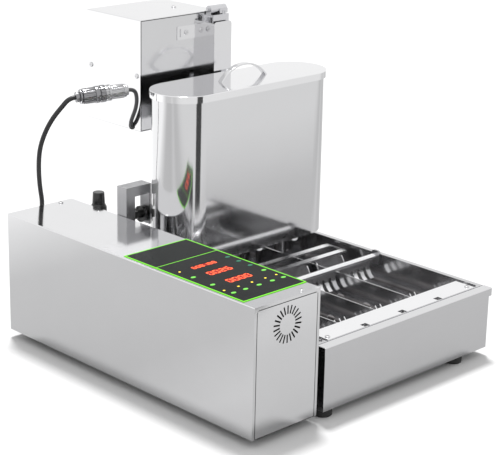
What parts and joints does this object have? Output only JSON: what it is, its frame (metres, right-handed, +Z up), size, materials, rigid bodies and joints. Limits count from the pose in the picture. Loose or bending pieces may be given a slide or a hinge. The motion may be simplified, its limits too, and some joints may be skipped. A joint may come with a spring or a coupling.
{
  "type": "donut maker",
  "caption": "Automatic mini donut fryer: control box, oil tank with lifting and turning forks, dough hopper over the lanes and a motor box on a mast.",
  "frame": {"origin": "on the table, under the middle of the machine's overall outline without its cable", "axes": "+Y from the tank's front to the rear, +Z up, +X to the right of somebody facing the tank's front"},
  "size_m": [0.549, 0.675, 0.5435],
  "materials": {
    "control_box_shell": "mirror-polished stainless steel",
    "control_box_front_plate": "mirror-polished stainless steel",
    "control_box_rear_plate": "mirror-polished stainless steel",
    "control_box_base": "mill finish",
    "rubber_feet": "matt",
    "cover_screws": "bright",
    "panel_overlay": "gloss",
    "digit_displays": "gloss",
    "indicator_lamps": "gloss",
    "control_board": "solder resist",
    "cooling_fan_frame": "matt",
    "cooling_fan_rotor": "matt",
    "power_supply": "mill finish",
    "heater_relays": "mill finish",
    "drive_motor": "satin",
    "drive_crank": "turned",
    "mains_inlet": "matt",
    "tank_housing": "mirror-polished stainless steel",
    "tank_front_panel": "mirror-polished stainless steel",
    "tank_pan": "polished stainless steel",
    "rear_deck": "polished stainless steel",
    "heating_element": "dull sheath",
    "thermostat_probe": "bright",
    "lane_dividers": "polished stainless steel",
    "discharge_plate": "mirror-polished stainless steel",
    "shaft_bearings": "turned",
    "turner": "polished stainless steel",
    "lifter": "polished stainless steel",
    "pusher_frame": "polished stainless steel",
    "hopper_body": "mirror-polished stainless steel",
    "hopper_lid": "mirror-polished stainless steel",
    "lid_handle": "polished stainless steel",
    "hopper_bracket": "satin stainless steel",
    "hopper_lock_pin": "gloss",
    "plunger_set": "turned stainless steel",
    "mast": "mirror-polished stainless steel",
    "motor_box_cover": "mirror-polished stainless steel",
    "motor_box_front_plate": "mirror-polished stainless steel",
    "depositor_motor": "satin",
    "drive_pinion": "machined",
    "lift_slider": "machined",
    "slider_hook": "polished stainless steel",
    "clamp_knob": "satin",
    "connector_plug": "bright",
    "connector_socket": "bright",
    "pigtail_grommet": "matt",
    "cable_gland": "matt",
    "pigtail_cable": "satin",
    "motor_cable": "satin",
    "key_1": "gloss",
    "key_2": "gloss",
    "key_3": "gloss",
    "key_4": "gloss",
    "key_5": "gloss",
    "key_6": "gloss",
    "key_7": "gloss",
    "key_8": "gloss",
    "key_9": "gloss",
    "key_10": "gloss",
    "key_11": "gloss"
  },
  "bodies": {
    "frame": {"control_box_shell": "control_box_shell", "control_box_front_plate": "control_box_front_plate", "control_box_rear_plate": "control_box_rear_plate", "control_box_base": "control_box_base", "rubber_feet": "rubber_feet", "cover_screws": "cover_screws", "panel_overlay": "panel_overlay", "digit_displays": "digit_displays", "indicator_lamps": "indicator_lamps", "control_board": "control_board", "cooling_fan_frame": "cooling_fan_frame", "power_supply": "power_supply", "heater_relays": "heater_relays", "drive_motor": "drive_motor", "mains_inlet": "mains_inlet", "tank_housing": "tank_housing", "tank_front_panel": "tank_front_panel", "tank_pan": "tank_pan", "rear_deck": "rear_deck", "heating_element": "heating_element", "thermostat_probe": "thermostat_probe", "lane_dividers": "lane_dividers", "discharge_plate": "discharge_plate", "shaft_bearings": "shaft_bearings", "hopper_body": "hopper_body", "hopper_bracket": "hopper_bracket", "mast": "mast", "motor_box_cover": "motor_box_cover", "motor_box_front_plate": "motor_box_front_plate", "depositor_motor": "depositor_motor", "connector_plug": "connector_plug", "connector_socket": "connector_socket", "pigtail_grommet": "pigtail_grommet", "cable_gland": "cable_gland", "pigtail_cable": "pigtail_cable", "motor_cable": "motor_cable"},
    "cooling_fan": {"cooling_fan_rotor": "cooling_fan_rotor"},
    "crank": {"drive_crank": "drive_crank"},
    "pusher": {"pusher_frame": "pusher_frame"},
    "turner": {"turner": "turner"},
    "lifter": {"lifter": "lifter"},
    "depositor_slider": {"lift_slider": "lift_slider", "slider_hook": "slider_hook", "plunger_set": "plunger_set"},
    "pinion": {"drive_pinion": "drive_pinion"},
    "lid": {"hopper_lid": "hopper_lid", "lid_handle": "lid_handle"},
    "lock_pin": {"hopper_lock_pin": "hopper_lock_pin"},
    "knob": {"clamp_knob": "clamp_knob"},
    "key_1": {"key_1": "key_1"},
    "key_2": {"key_2": "key_2"},
    "key_3": {"key_3": "key_3"},
    "key_4": {"key_4": "key_4"},
    "key_5": {"key_5": "key_5"},
    "key_6": {"key_6": "key_6"},
    "key_7": {"key_7": "key_7"},
    "key_8": {"key_8": "key_8"},
    "key_9": {"key_9": "key_9"},
    "key_10": {"key_10": "key_10"},
    "key_11": {"key_11": "key_11"}
  },
  "joints": [
    {"name": "key_1_press", "type": "slide", "parent": "frame", "child": "key_1", "axis": [0, 0, -1], "range_m": [0, 0.0004], "stiffness_N_per_m": 400},
    {"name": "key_2_press", "type": "slide", "parent": "frame", "child": "key_2", "axis": [0, 0, -1], "range_m": [0, 0.0004], "stiffness_N_per_m": 400},
    {"name": "key_3_press", "type": "slide", "parent": "frame", "child": "key_3", "axis": [0, 0, -1], "range_m": [0, 0.0004], "stiffness_N_per_m": 400},
    {"name": "key_4_press", "type": "slide", "parent": "frame", "child": "key_4", "axis": [0, 0, -1], "range_m": [0, 0.0004], "stiffness_N_per_m": 400},
    {"name": "key_5_press", "type": "slide", "parent": "frame", "child": "key_5", "axis": [0, 0, -1], "range_m": [0, 0.0004], "stiffness_N_per_m": 400},
    {"name": "key_6_press", "type": "slide", "parent": "frame", "child": "key_6", "axis": [0, 0, -1], "range_m": [0, 0.0004], "stiffness_N_per_m": 400},
    {"name": "key_7_press", "type": "slide", "parent": "frame", "child": "key_7", "axis": [0, 0, -1], "range_m": [0, 0.0004], "stiffness_N_per_m": 400},
    {"name": "key_8_press", "type": "slide", "parent": "frame", "child": "key_8", "axis": [0, 0, -1], "range_m": [0, 0.0004], "stiffness_N_per_m": 400},
    {"name": "key_9_press", "type": "slide", "parent": "frame", "child": "key_9", "axis": [0, 0, -1], "range_m": [0, 0.0004], "stiffness_N_per_m": 400},
    {"name": "key_10_press", "type": "slide", "parent": "frame", "child": "key_10", "axis": [0, 0, -1], "range_m": [0, 0.0004], "stiffness_N_per_m": 400},
    {"name": "key_11_press", "type": "slide", "parent": "frame", "child": "key_11", "axis": [0, 0, -1], "range_m": [0, 0.0004], "stiffness_N_per_m": 400},
    {"name": "fan_spin", "type": "hinge", "parent": "frame", "child": "cooling_fan", "pos_m": [-0.207, -0.301, 0.178], "axis": [0, 1, 0], "continuous": true},
    {"name": "crank_spin", "type": "hinge", "parent": "frame", "child": "crank", "pos_m": [-0.137, 0.00425, 0.164], "axis": [1, 0, 0], "continuous": true},
    {"name": "pusher_slide", "type": "slide", "parent": "frame", "child": "pusher", "axis": [0, 1, 0], "range_m": [-0.022, 0]},
    {"name": "turner_turn", "type": "hinge", "parent": "frame", "child": "turner", "pos_m": [0.0735, -0.07125, 0.116], "axis": [1, 0, 0], "range_deg": [0, 75]},
    {"name": "lifter_turn", "type": "hinge", "parent": "frame", "child": "lifter", "pos_m": [0.0735, -0.24925, 0.104], "axis": [1, 0, 0], "range_deg": [0, 91]},
    {"name": "slider_lift", "type": "slide", "parent": "frame", "child": "depositor_slider", "axis": [0, 0, 1], "range_m": [0, 0.018]},
    {"name": "pinion_spin", "type": "hinge", "parent": "frame", "child": "pinion", "pos_m": [0.0915, 0.18875, 0.444], "axis": [1, 0, 0], "range_deg": [-44, 0]},
    {"name": "lid_lift", "type": "slide", "parent": "frame", "child": "lid", "axis": [0, 0, 1], "range_m": [0, 0.1]},
    {"name": "lock_pin_pull", "type": "slide", "parent": "frame", "child": "lock_pin", "axis": [-1, 0, 0], "range_m": [0, 0.004], "stiffness_N_per_m": 400},
    {"name": "clamp_knob_turn", "type": "hinge", "parent": "frame", "child": "knob", "pos_m": [-0.1145, 0.23475, 0.223], "axis": [0, 0, 1], "range_deg": [0, 180]}
  ],
  "couplings": [
    {"joint": "turner_turn", "follows": "pusher_slide", "rad_per_m": -58.824},
    {"joint": "lifter_turn", "follows": "pusher_slide", "rad_per_m": -71.429},
    {"joint": "pinion_spin", "follows": "slider_lift", "rad_per_m": -41.667}
  ]
}
